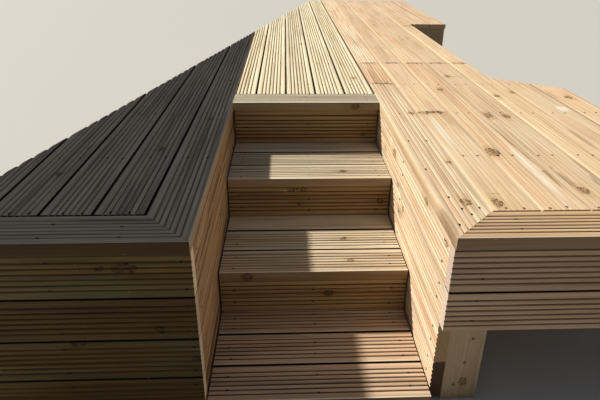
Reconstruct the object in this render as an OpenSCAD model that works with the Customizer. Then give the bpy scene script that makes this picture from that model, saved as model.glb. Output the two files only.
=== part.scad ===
/* [Boards] */
// Width of a decking board
board_w = 120; // [112:1:128]
// Thickness of a decking board
board_t = 33; // [28:1:36]
// Worn corner along the edges of a board
arris = 1.5; // [0.5:0.5:2.5]
// Gap between deck boards
deck_gap = 5; // [3:1:8]
// Gap between the boards of a tread
tread_gap = 5; // [3:1:8]
// Gap between fascia or cheek boards
clad_gap = 3; // [1:1:6]
// Gap where two boards meet end to end
butt_gap = 2; // [1:0.5:4]
// How far an edge board stands proud of the face below it
nosing = 5; // [2:1:10]

/* [Grooves] */
// Number of grooves along a full board
groove_count = 6; // [3:1:6]
// Distance from groove to groove
groove_pitch = 15; // [13:0.5:16]
// Width of a groove at the surface
groove_w = 6; // [4:0.5:7]
// Width of the flat bottom of a groove
groove_bottom = 3; // [1:0.5:3.5]
// Depth of a groove
groove_d = 3.5; // [2:0.5:5]

/* [Flight] */
// Clear width between the cheeks
stair_w = 590; // [500:5:900]
// Gap at each end of a tread or riser
tread_side_gap = 5; // [2:1:10]
// Distance from riser face to riser face
going = 345; // [335:1:355]
// How far a tread runs on under the riser behind it
riser_seat = 20; // [10:1:28]
// Thickness of the battens under the lowest tread
batten_t = 19; // [12:1:30]
// Height of the plain strip that packs out the top rise
packer_h = 22; // [15:1:40]
// Timber left between a notch and the underside of a stringer
throat = 90; // [70:1:110]
// Distance from a tread end to the outer face of a stringer
stringer_inset = 20; // [5:1:60]

/* [Deck] */
// Width of the left side of the deck along its front edge
left_wing_w = 653; // [560:1:760]
// Angle of the left edge of the deck to the flight
left_angle = 13.3; // [0:0.1:14]
// Number of boards beside the border on the right
right_boards = 6; // [5:1:7]
// Where the cut corner on the right starts
corner_y = 1235; // [1215:1:1300]
// Length of the cut corner along the flight
corner_run = 220; // [180:1:280]
// Width of the cut corner across the flight
corner_in = 280; // [200:1:300]
// Distance from the front to where the deck is full width again, behind the cut corner
recess_end = 3120; // [2800:10:3400]
// Height of the lower fascia board on the right, sawn to width
ripped_h = 112; // [60:1:112]

/* [Frame] */
// Thickness of joists, rims and stringers
joist_t = 45; // [38:1:50]
// Depth of the joists
joist_h = 145; // [120:1:150]
// How far a border board reaches over the joist behind it
border_seat = 11; // [8:1:16]
// Depth of the ledger that carries the stringers
ledger_h = 95; // [80:1:120]
// Middle of the first full joist
first_joist = 481; // [440:1:500]
// Distance from joist to joist
joist_pitch = 424; // [405:1:440]
// Side of a square post
post_w = 95; // [75:1:100]

/* [Hidden] */

// Tones of the wood
pale_pine = "#d9bd92";
shaded_pine = "#a98a63";
brown_pine = "#7d5c39";
frame_pine = "#b9985f";

// Joists are counted from 0 at the first full one; lengths of a board meet over these
border_joints = [2, 3];
right_joints = [[1, 3], [3], [3], [3, 6], [], []];
right_rims = [1, 5];
rear_rims = [4, 6];
rear_joist = 10;
wing_joist = 1;
left_post_joists = [2, 5, 8];
right_post_joist = 8;
recess_post_joist = 5;
landing_post_joist = 3;
function joist_y(n) = first_joist + n * joist_pitch;

// Heights: the boards themselves set the rise
rise = board_w + board_t;
function tread_top(step) = batten_t + board_t + (step - 1) * rise;
top_step = 3;
frame_top = tread_top(top_step) + board_w + packer_h;
frame_bottom = frame_top - joist_h;

// Across the flight
half_w = stair_w / 2;
half_tread = half_w - tread_side_gap;
lining_x = half_w + board_t;
trimmer_x = lining_x + joist_t;
border_x = half_w + board_w;
board_pitch = board_w + deck_gap;
stringer_x = half_tread - stringer_inset - joist_t / 2;
left_x = -half_w - left_wing_w;
right_x = border_x + right_boards * board_pitch;

// Along the flight, from the face of the front boards
function riser_back(step) = step * going + board_t;
tread_depth = going + nosing + riser_seat;
rear_w = tread_depth - 2 * (board_w + tread_gap);
border_back = board_w - nosing;
deck_front = border_back + deck_gap;
header_y = riser_back(top_step);
nosing_y = top_step * going - nosing;
landing_front = nosing_y + board_w + deck_gap;
deck_back = joist_y(rear_joist) + joist_t / 2 + nosing;
function left_edge(y) = left_x + tan(left_angle) * (y + nosing);

// Plan of the deck, and the lines of its frame inside it
plan = [
  [left_x, -nosing],
  [right_x, -nosing],
  [right_x, corner_y],
  [right_x - corner_in, corner_y + corner_run],
  [right_x - corner_in, recess_end],
  [right_x, recess_end],
  [right_x, deck_back],
  [left_edge(deck_back), deck_back]
];
function along(p, i) = (p[(i + 1) % len(p)] - p[i]) / norm(p[(i + 1) % len(p)] - p[i]);
function inward(p, i) = [-along(p, i).y, along(p, i).x];
function meet(a, da, b, db) = a + da * cross(b - a, db) / cross(da, db);
function inset(p, d) = [
  for (i = [0 : len(p) - 1])
    let (h = (i + len(p) - 1) % len(p))
    meet(p[h] + d[h] * inward(p, h), along(p, h), p[i] + d[i] * inward(p, i), along(p, i))
];
skin = inset(plan, [for (p = plan) nosing]);
frame_line = inset(skin, [for (i = [0 : len(plan) - 1]) i == 0 ? board_t : 0]);
inner_line = inset(frame_line, [for (p = plan) joist_t]);
far = 2 * deck_back;

// Cross-section of a board: x across its width, y up to the grooved face
groove_first = (board_w - (groove_count - 1) * groove_pitch) / 2;
function groove_at(x) = [
  [x + groove_w / 2, board_t],
  [x + groove_bottom / 2, board_t - groove_d],
  [x - groove_bottom / 2, board_t - groove_d],
  [x - groove_w / 2, board_t]
];
function grooves_on(w) = [
  for (k = [groove_count - 1 : -1 : 0])
    let (x = groove_first + k * groove_pitch)
    if (x + groove_w / 2 + 2 * arris < w)
      each groove_at(x)
];
function section_of(w, grooved) = concat(
  [[arris, 0], [w - arris, 0], [w, arris], [w, board_t - arris], [w - arris, board_t]],
  grooved ? grooves_on(w) : [],
  [[arris, board_t], [0, board_t - arris], [0, arris]]
);

// A board lying along X, grooved face up
module board_along_x(from, to, w = board_w, grooved = true) {
  translate([from, 0, 0])
    rotate([90, 0, 90])
      linear_extrude(to - from)
        polygon(section_of(w, grooved));
}

// A board lying along Y, grooved face up
module board_along_y(from, to) {
  translate([0, to, 0])
    rotate([90, 0, 0])
      linear_extrude(to - from)
        polygon(section_of(board_w, true));
}

// A board lying along X and standing on edge, grooved face to the front
module upright_board(from, to) {
  translate([0, board_t, 0])
    rotate([90, 0, 0])
      board_along_x(from, to);
}

// Keeps only what lies over an outline
module within(outline) {
  intersection() {
    children();
    linear_extrude(far, center = true)
      polygon(outline);
  }
}

// A long board at deck level with its left edge at x, cut through where its lengths meet
module long_board(x, from, joints = []) {
  translate([x, 0, frame_top])
    difference() {
      board_along_y(from, deck_back + board_w);
      for (n = joints)
        translate([-board_w, joist_y(n) - butt_gap / 2, -board_t])
          cube([3 * board_w, butt_gap, 3 * board_t]);
    }
}

// Front border on the right of the flight, mitred at its corner
module front_border(reach) {
  within([[half_w, -nosing], [reach, -nosing], [reach, border_back], [border_x, border_back]])
    translate([0, -nosing, frame_top])
      board_along_x(0, reach);
}

// Border along the cheek, mitred at the front and running on as a deck board
module side_border(joints = []) {
  within([[half_w, -nosing], [border_x, border_back], [border_x, far], [half_w, far]])
    long_board(half_w, -nosing, joints);
}

module left_front_border() {
  color(shaded_pine)
    within(plan)
      mirror([1, 0, 0])
        front_border(-left_x);
}

module right_front_border() {
  color(pale_pine)
    front_border(right_x);
}

module left_side_border() {
  color(shaded_pine)
    within(plan)
      mirror([1, 0, 0])
        side_border();
}

module right_side_border() {
  color(pale_pine)
    within(plan)
      side_border(border_joints);
}

module top_nosing() {
  color(pale_pine)
    translate([0, nosing_y, frame_top])
      board_along_x(-half_w, half_w);
}

module left_deck_boards() {
  reach = -left_edge(deck_front) - border_x - deck_gap;
  color(shaded_pine)
    for (k = [1 : ceil(reach / board_pitch)])
      within(plan)
        long_board(-border_x - k * board_pitch, deck_front);
}

// Laid from the right, so the last board on the left is sawn to width
module landing_boards() {
  inner_x = half_w - deck_gap;
  color(pale_pine)
    for (k = [1 : ceil(2 * inner_x / board_pitch)])
      within(plan)
        within([[-inner_x, 0], [inner_x, 0], [inner_x, far], [-inner_x, far]])
          long_board(half_w - k * board_pitch, landing_front);
}

module right_deck_boards() {
  color(pale_pine)
    for (k = [0 : right_boards - 1])
      within(plan)
        long_board(border_x + deck_gap + k * board_pitch, deck_front, right_joints[k % len(right_joints)]);
}

// Rows of cladding hang down from the underside of the deck boards
clad_pitch = board_w + clad_gap;
clad_rows = floor((frame_top + clad_gap) / clad_pitch);

module left_fascia_boards() {
  color(shaded_pine)
    within(skin)
      for (row = [1 : clad_rows])
        translate([0, 0, frame_top - row * clad_pitch + clad_gap])
          upright_board(left_x, -half_w);
}

// The right side is clad only to the second board, which is sawn to width
module right_fascia_boards() {
  color(shaded_pine)
    intersection() {
      for (row = [1 : 2])
        translate([0, 0, frame_top - row * clad_pitch + clad_gap])
          upright_board(half_w, right_x - nosing);
      translate([half_w, 0, frame_top - clad_pitch - ripped_h])
        cube([right_x, board_t, far]);
    }
}

module cheek() {
  for (row = [1 : clad_rows])
    translate([lining_x, 0, frame_top - row * clad_pitch + clad_gap])
      rotate([0, -90, 0])
        board_along_y(board_t, header_y);
}

module left_cheek_boards() {
  color(brown_pine)
    mirror([1, 0, 0])
      cheek();
}

module right_cheek_boards() {
  color(pale_pine)
    cheek();
}

// A riser stands on the rear board of the tread in front of it
module riser(step) {
  color(brown_pine)
    translate([0, step * going, tread_top(step)])
      upright_board(-half_tread, half_tread);
}

module packing_strip() {
  color(brown_pine)
    translate([-half_tread, top_step * going, frame_top - packer_h])
      cube([2 * half_tread, board_t, packer_h]);
}

// A tread board: place counts from the front edge, and a turned board has its grooves underneath
module tread_board(step, place, turned = false) {
  w = place < 2 ? board_w : rear_w;
  color(pale_pine)
    translate([0, (step - 1) * going - nosing + place * (board_w + tread_gap), tread_top(step) - board_t])
      if (turned)
        translate([0, w, board_t])
          rotate([180, 0, 0])
            board_along_x(-half_tread, half_tread, w);
      else
        board_along_x(-half_tread, half_tread, w);
}

module ground_battens() {
  color(frame_pine)
    for (side = [-1, 0, 1])
      translate([side * stringer_x - joist_t / 2, -nosing, 0])
        cube([joist_t, riser_back(1) + nosing, batten_t]);
}

// A stringer is sawn to a notch for each tread and stands on the ground behind the lowest riser
module stringer(side) {
  seat = tread_top(2) - board_t;
  slope = rise / going;
  under = seat - throat * sqrt(1 + slope * slope);
  color(frame_pine)
    translate([side * stringer_x - joist_t / 2, 0, 0])
      rotate([90, 0, 90])
        linear_extrude(joist_t)
          polygon([
            [riser_back(1), 0],
            [riser_back(1) + going - under / slope, 0],
            [header_y, under + (header_y - riser_back(2)) * slope],
            [header_y, seat + rise],
            [riser_back(2), seat + rise],
            [riser_back(2), seat],
            [riser_back(1), seat]
          ]);
}

module stringer_ledger() {
  color(frame_pine)
    translate([-lining_x, header_y, frame_bottom - ledger_h])
      cube([2 * lining_x, joist_t, ledger_h]);
}

// One side of the outer frame, mitred to its neighbours; sides are counted from 0 at the front
module rim(side) {
  next = (side + 1) % len(plan);
  color(frame_pine)
    translate([0, 0, frame_bottom])
      linear_extrude(joist_h)
        polygon([frame_line[side], frame_line[next], inner_line[next], inner_line[side]]);
}

module rims(sides) {
  for (side = sides)
    rim(side);
}

module front_rims() {
  difference() {
    rim(0);
    translate([-lining_x, 0, 0])
      cube([2 * lining_x, far, frame_top + board_t]);
  }
}

module trimmers() {
  front_y = board_t + joist_t;
  color(frame_pine)
    for (side = [0, 1])
      mirror([side, 0, 0])
        translate([lining_x, front_y, frame_bottom])
          cube([joist_t, header_y - front_y, joist_h]);
}

// A joist across the frame, cut to the inside of the rims
module joist(y, from = -far, to = far) {
  color(frame_pine)
    within(inner_line)
      translate([from, y - joist_t / 2, frame_bottom])
        cube([to - from, joist_t, joist_h]);
}

// The joist under the back of the front border also takes the ends of the deck boards
wing_joists = concat([border_back - border_seat + joist_t / 2], [for (n = [0 : wing_joist]) joist_y(n)]);

module header_joist() {
  joist(header_y + joist_t / 2);
}

module left_wing_joists() {
  for (y = wing_joists)
    joist(y, to = -trimmer_x);
}

module right_wing_joists() {
  for (y = wing_joists)
    joist(y, from = trimmer_x);
}

landing_joist = nosing_y + board_w - border_seat + joist_t / 2;

module landing_joists() {
  joist(landing_joist);
  for (n = [wing_joist + 1 : rear_joist - 1])
    joist(joist_y(n));
}

// A post stands on the ground and carries the frame on its top
module post(x, y) {
  color(frame_pine)
    translate([x, y, 0])
      cube([post_w, post_w, frame_bottom]);
}

front_post_y = board_t;
header_post_y = header_y + joist_t - post_w;
rear_post_y = deck_back - nosing - post_w;

module corner_posts() {
  for (side = [0, 1])
    mirror([side, 0, 0])
      post(lining_x, front_post_y);
}

module flight_posts() {
  for (side = [0, 1], y = [(front_post_y + header_post_y) / 2, header_post_y])
    mirror([side, 0, 0])
      post(lining_x, y);
}

function post_at(joist) = joist_y(joist) - post_w / 2;

module left_posts() {
  for (y = concat([front_post_y], [for (n = left_post_joists) post_at(n)], [rear_post_y]))
    post(left_edge(y + post_w) + 2 * nosing, y);
}

module right_posts() {
  outer_x = right_x - nosing - post_w;
  recess_post_y = recess_end + nosing;
  for (y = [front_post_y, landing_joist - post_w / 2, recess_post_y, post_at(right_post_joist), rear_post_y])
    post(outer_x, y);
  for (y = [corner_y + corner_run, post_at(recess_post_joist), recess_post_y])
    post(outer_x - corner_in, y);
}

module landing_post() {
  post(-post_w / 2, post_at(landing_post_joist));
}

left_front_border();
right_front_border();
left_side_border();
right_side_border();
top_nosing();
left_deck_boards();
landing_boards();
right_deck_boards();
left_fascia_boards();
right_fascia_boards();
left_cheek_boards();
right_cheek_boards();
riser(1);  // lower_riser
riser(2);  // middle_riser
riser(3);  // upper_riser
packing_strip();
tread_board(1, 0);  // lower_tread_front
tread_board(1, 1);  // lower_tread_middle
tread_board(1, 2);  // lower_tread_rear
tread_board(2, 0);  // middle_tread_front
tread_board(2, 1);  // middle_tread_middle
tread_board(2, 2, turned = true);  // middle_tread_rear
tread_board(3, 0);  // upper_tread_front
tread_board(3, 1);  // upper_tread_middle
tread_board(3, 2, turned = true);  // upper_tread_rear
ground_battens();
stringer(-1);  // left_stringer
stringer(0);  // centre_stringer
stringer(1);  // right_stringer
stringer_ledger();
front_rims();
trimmers();
header_joist();
left_wing_joists();
right_wing_joists();
landing_joists();
rim(7);  // left_rim
rims(right_rims);  // right_rim
rim(2);  // angled_rim
rim(3);  // right_rear_rim
rims(rear_rims);  // rear_rim
corner_posts();
flight_posts();
left_posts();
right_posts();
landing_post();
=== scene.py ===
# Timber deck with a flight of three steps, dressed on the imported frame.
# Grooved boards are swept in Geometry Nodes, cut to their lines, given their grain and screwed down.
import math
import bpy
import bmesh
import numpy as np
from mathutils import Matrix, Vector


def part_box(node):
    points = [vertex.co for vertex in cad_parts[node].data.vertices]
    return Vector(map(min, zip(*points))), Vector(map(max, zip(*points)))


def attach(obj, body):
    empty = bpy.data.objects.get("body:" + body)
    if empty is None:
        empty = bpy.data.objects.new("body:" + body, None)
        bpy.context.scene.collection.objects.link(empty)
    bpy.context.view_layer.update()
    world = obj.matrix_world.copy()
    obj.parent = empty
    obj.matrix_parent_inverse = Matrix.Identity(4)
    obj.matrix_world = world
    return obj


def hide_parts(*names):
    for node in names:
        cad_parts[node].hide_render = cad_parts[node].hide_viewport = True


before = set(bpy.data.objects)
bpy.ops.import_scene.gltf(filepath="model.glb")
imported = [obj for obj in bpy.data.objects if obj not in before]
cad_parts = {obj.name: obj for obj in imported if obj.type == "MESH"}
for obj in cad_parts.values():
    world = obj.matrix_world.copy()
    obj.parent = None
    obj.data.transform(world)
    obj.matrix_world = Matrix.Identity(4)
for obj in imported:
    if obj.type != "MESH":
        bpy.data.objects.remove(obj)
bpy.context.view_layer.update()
print("frame loaded:", len(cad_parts), "nodes")


# Small helpers for node trees and objects

class Wire:
    # An output socket to reckon with: a * b + c adds the Math nodes for it
    def __init__(self, socket):
        self.socket = socket
        self.tree = socket.id_data

    def math(self, operation, *others):
        return addWire(self.tree, "ShaderNodeMath", dict(enumerate((self, *others))), operation=operation)

    def vector(self, operation, other):
        return addWire(self.tree, "ShaderNodeVectorMath", {0: self, 1: other}, operation=operation)

    def __add__(self, other):
        return self.math("ADD", other)

    def __sub__(self, other):
        return self.math("SUBTRACT", other)

    def __rsub__(self, other):
        return self.math("MULTIPLY_ADD", -1.0, other)

    def __mul__(self, other):
        return self.math("MULTIPLY", other)

    def __truediv__(self, other):
        return self.math("DIVIDE", other)


def hexColour(code):
    parts = [int(code[i:i + 2], 16) / 255 for i in (0, 2, 4)]
    return (*[c / 12.92 if c <= 0.04045 else ((c + 0.055) / 1.055) ** 2.4 for c in parts], 1.0)


def addNode(tree, kind, inputs=None, **options):
    # Inputs may be wires, values or, for a colour, an sRGB code
    node = tree.nodes.new(kind)
    for name, value in options.items():
        setattr(node, name, value)
    for key, value in (inputs or {}).items():
        socket = node.inputs[key]
        if isinstance(value, Wire):
            tree.links.new(value.socket, socket)
        else:
            socket.default_value = hexColour(value) if socket.type == "RGBA" else value
    return node


def addWire(tree, kind, inputs=None, output=0, **options):
    return Wire(addNode(tree, kind, inputs, **options).outputs[output])


def newTree(name, kind, inputs, outputs):
    # A node group with the sockets given by kind, and wires from its inputs
    tree = bpy.data.node_groups.new(name, kind)
    for direction, sockets in (("INPUT", inputs), ("OUTPUT", outputs)):
        for socketKind, names in sockets.items():
            for socketName in names:
                tree.interface.new_socket(socketName, in_out=direction, socket_type="NodeSocket" + socketKind)
    given = tree.nodes.new("NodeGroupInput").outputs
    return tree, {socket.name: Wire(socket) for socket in given if socket.name}


def split(vector):
    return [Wire(socket) for socket in addNode(vector.tree, "ShaderNodeSeparateXYZ", {0: vector}).outputs]


def combine(tree, x=0.0, y=0.0, z=0.0):
    return addWire(tree, "ShaderNodeCombineXYZ", {0: x, 1: y, 2: z})


def between(value, low, high):
    # 0 below low, 1 above high, smooth on the way; low may be the larger one
    inputs = {"Value": value, "From Min": low, "From Max": high}
    return addWire(value.tree, "ShaderNodeMapRange", inputs, interpolation_type="SMOOTHSTEP")


def scaled(colour, factor):
    return addWire(colour.tree, "ShaderNodeVectorMath", {0: colour, "Scale": factor}, operation="SCALE")


def blend(amount, first, second, mode="MIX"):
    inputs = {0: amount, 6: first, 7: second}
    return addWire(amount.tree, "ShaderNodeMix", inputs, 2, data_type="RGBA", blend_type=mode)


def noiseAt(vector, scale=1.0, detail=2.0, roughness=0.5, output="Fac"):
    inputs = {"Vector": vector, "Scale": scale, "Detail": detail, "Roughness": roughness}
    return addWire(vector.tree, "ShaderNodeTexNoise", inputs, output)


def newMaterial(name):
    material = bpy.data.materials.new(name)
    material.use_nodes = True
    material.node_tree.nodes.clear()
    return material, material.node_tree


def addShader(tree, inputs):
    shader = addWire(tree, "ShaderNodeBsdfPrincipled", inputs)
    addNode(tree, "ShaderNodeOutputMaterial", {"Surface": shader})


def newObject(name, data):
    made = bpy.data.objects.new(name, data)
    bpy.context.scene.collection.objects.link(made)
    return made


def takeMesh(bm, name):
    mesh = bpy.data.meshes.new(name)
    bm.to_mesh(mesh)
    bm.free()
    return mesh


def applied(source):
    # The mesh that an object's modifiers make; the object itself goes
    depsgraph = bpy.context.evaluated_depsgraph_get()
    mesh = bpy.data.meshes.new_from_object(source.evaluated_get(depsgraph), depsgraph=depsgraph)
    source.modifiers.clear()
    bpy.data.objects.remove(source)
    return mesh


def setAttribute(mesh, name, values, domain="POINT"):
    # One number or one vector for each point or face
    values = np.asarray(values, dtype=np.float32)
    kind, key = ("FLOAT_VECTOR", "vector") if values.ndim == 2 else ("FLOAT", "value")
    mesh.attributes.new(name, kind, domain).data.foreach_set(key, values.ravel())


# Camera, as the photograph was taken: pixels of a 600 x 400 frame, metres and degrees
camera = {
    "frame": (600, 400),
    "focal": 514.58,
    "centre": (308.67, 176.83),
    "place": (-0.08333, -0.96457, 1.13149),
    "pitch": 24.91,
    "yaw": 2.74,
    "roll": 0.74,
    "sensor": 36.0,
    "farClip": 200,
}


def placeCamera(c):
    pitch, yaw, roll = (math.radians(c[k]) for k in ("pitch", "yaw", "roll"))
    ahead = Vector((math.sin(yaw) * math.cos(pitch), math.cos(yaw) * math.cos(pitch), -math.sin(pitch)))
    level = Vector((math.cos(yaw), -math.sin(yaw), 0))
    above = level.cross(ahead)
    right = level * math.cos(roll) + above * math.sin(roll)
    up = above * math.cos(roll) - level * math.sin(roll)
    data = bpy.data.cameras.new("photoCamera")
    width, height = c["frame"]
    data.sensor_width = c["sensor"]
    data.lens = c["focal"] / width * c["sensor"]
    data.shift_x = (width / 2 - c["centre"][0]) / width
    data.shift_y = (c["centre"][1] - height / 2) / width
    data.clip_end = c["farClip"]
    cameraObject = newObject("photoCamera", data)
    turned = Matrix((right, up, -ahead)).transposed().to_4x4()
    cameraObject.matrix_world = Matrix.Translation(c["place"]) @ turned
    bpy.context.scene.camera = cameraObject


placeCamera(camera)
print("camera placed")

# Sizes that the frame gives
low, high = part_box("lower_riser")
_, boardThickness, boardWidth = high - low
deckBase, deckTop = (corner.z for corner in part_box("top_nosing"))

decking = {
    "Width": boardWidth,
    "Thickness": boardThickness,
    "Arris": 0.0018,
    "Grooves": 6,
    "Groove Pitch": 0.015,
    "Groove Width": 0.006,
    "Groove Depth": 0.0035,
    "Row Gap": 0.03,
    "Unevenness": 0.0006,
}

plan = {
    "slant": math.radians(13.3),      # left edge of the deck
    "cornerRun": 0.220,               # cut corner on the right, along the flight
    "cornerIn": 0.280,                # and across it
    "cornerStart": 1.235,
    "recessEnd": 3.120,               # where the deck is full width again
    "deckGap": 0.005,
    "cladGap": 0.003,
    "buttGap": 0.002,
    "mitreGap": 0.0008,
    "firstJoist": 0.481,
    "joistPitch": 0.424,
    "joistCount": 11,
}


def finishTree(tree, geometry, material):
    real = addWire(tree, "GeometryNodeRealizeInstances", {"Geometry": geometry})
    finish = addWire(tree, "GeometryNodeSetMaterial", {"Geometry": real, "Material": material})
    addNode(tree, "NodeGroupOutput", {0: finish})
    return tree


def choose(values, at):
    node = addNode(at.tree, "GeometryNodeIndexSwitch", data_type="FLOAT")
    while len(node.index_switch_items) < len(values):
        node.index_switch_items.new()
    for i, value in enumerate(values):
        node.inputs[i + 1].default_value = value
    at.tree.links.new(at.socket, node.inputs[0])
    return Wire(node.outputs[0])


# A grooved board along X: its section is worked out point by point and swept along a line
def buildBoardTree():
    tree, size = newTree("deckingBoard", "GeometryNodeTree", {
        "Float": ("Length", "Width", "Thickness", "Arris", "Groove Pitch", "Groove Width", "Groove Depth",
                  "Row Gap", "Unevenness", "Seed"),
        "Int": ("Grooves",),
        "Material": ("Finish",),
    }, {"Geometry": ("Board",)})

    steps = (1.25, 0.95, 0.5, 0.0, -0.5, -0.95, -1.25)   # points across a groove, in half widths
    drops = (0.0, 0.12, 0.93, 1.0, 0.93, 0.12, 0.0)      # and how deep each one lies
    cornerPoints = 3
    inGrooves = size["Grooves"] * len(steps)
    line = addWire(tree, "GeometryNodeMeshLine", {"Count": inGrooves + 4.0 * cornerPoints})
    index = addWire(tree, "GeometryNodeInputIndex")

    # Grooves, from the far edge to the near one
    groove = (index / len(steps)).math("FLOOR")
    step = index.math("MODULO", len(steps))
    spread = (size["Grooves"] - 1.0) * size["Groove Pitch"]
    centre = (size["Width"] + spread) * 0.5 - groove * size["Groove Pitch"]
    across = centre + choose(steps, step) * (size["Groove Width"] * 0.5)
    level = size["Thickness"] - choose(drops, step) * size["Groove Depth"]

    # Rounded corners, three points each
    rest = index - inGrooves
    quarter = (rest / cornerPoints).math("FLOOR") * (math.pi / 2)
    middle = quarter + 0.75 * math.pi
    angle = quarter + math.pi / 2 + rest.math("MODULO", cornerPoints) * (math.pi / 4)

    def cornerAt(extent, wave):
        half = extent * 0.5
        side = middle.math(wave).math("SIGN")
        return half + (half - size["Arris"]) * side + angle.math(wave) * size["Arris"]

    place = addWire(tree, "GeometryNodeSwitch", {
        "Switch": index.math("LESS_THAN", inGrooves),
        "False": combine(tree, cornerAt(size["Width"], "COSINE"), cornerAt(size["Thickness"], "SINE")),
        "True": combine(tree, across, level)}, input_type="VECTOR")
    turned = place.vector("MULTIPLY", (-1.0, -1.0, 0.0))
    points = addWire(tree, "GeometryNodeSetPosition", {"Geometry": line, "Position": turned})
    outline = addWire(tree, "GeometryNodeMeshToCurve", {"Mesh": points})
    section = addWire(tree, "GeometryNodeSetSplineCyclic", {"Geometry": outline, "Cyclic": True})

    path = addWire(tree, "GeometryNodeCurvePrimitiveLine", {"End": combine(tree, size["Length"])})
    rows = addWire(tree, "GeometryNodeResampleCurve", {
        "Curve": path, "Length": size["Row Gap"]}, mode="LENGTH")
    sweep = addWire(tree, "GeometryNodeCurveToMesh", {
        "Curve": rows, "Profile Curve": section, "Fill Caps": True})

    # Boards never lie quite flat: the face dips a little, and never rises
    here = addWire(tree, "GeometryNodeInputPosition").vector("MULTIPLY", (2.2, 7.0, 0.0))
    shifted = here.vector("ADD", combine(tree, size["Seed"] * 31.7))
    dip = noiseAt(shifted) * size["Unevenness"] * -1.0
    uneven = addWire(tree, "GeometryNodeSetPosition", {"Geometry": sweep, "Offset": combine(tree, z=dip)})
    return finishTree(tree, uneven, size["Finish"])


def bakeTree(tree, values, mesh=None):
    shell = newObject("shell", mesh or bpy.data.meshes.new("shell"))
    modifier = shell.modifiers.new("build", "NODES")
    modifier.node_group = tree
    for item in tree.interface.items_tree:
        if item.item_type == "SOCKET" and item.in_out == "INPUT" and item.name in values:
            modifier[item.identifier] = values[item.name]
    return applied(shell)


boardTree = buildBoardTree()
print("board tree built")

# What each point of a board carries, beside its place
fields = ("grain", "board", "knot", "pale", "stain", "gaps")

# Amounts of each effect that most finishes share, and the width of a growth ring
usual = {
    "Late": 0.5, "Heart": 0.6, "Streak": 0.5, "Groove": 0.95, "Skin": 0.4, "Side": 0.5, "Worn": 0.0,
    "Grain": 0.5}
ringGap = 0.0045


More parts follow.
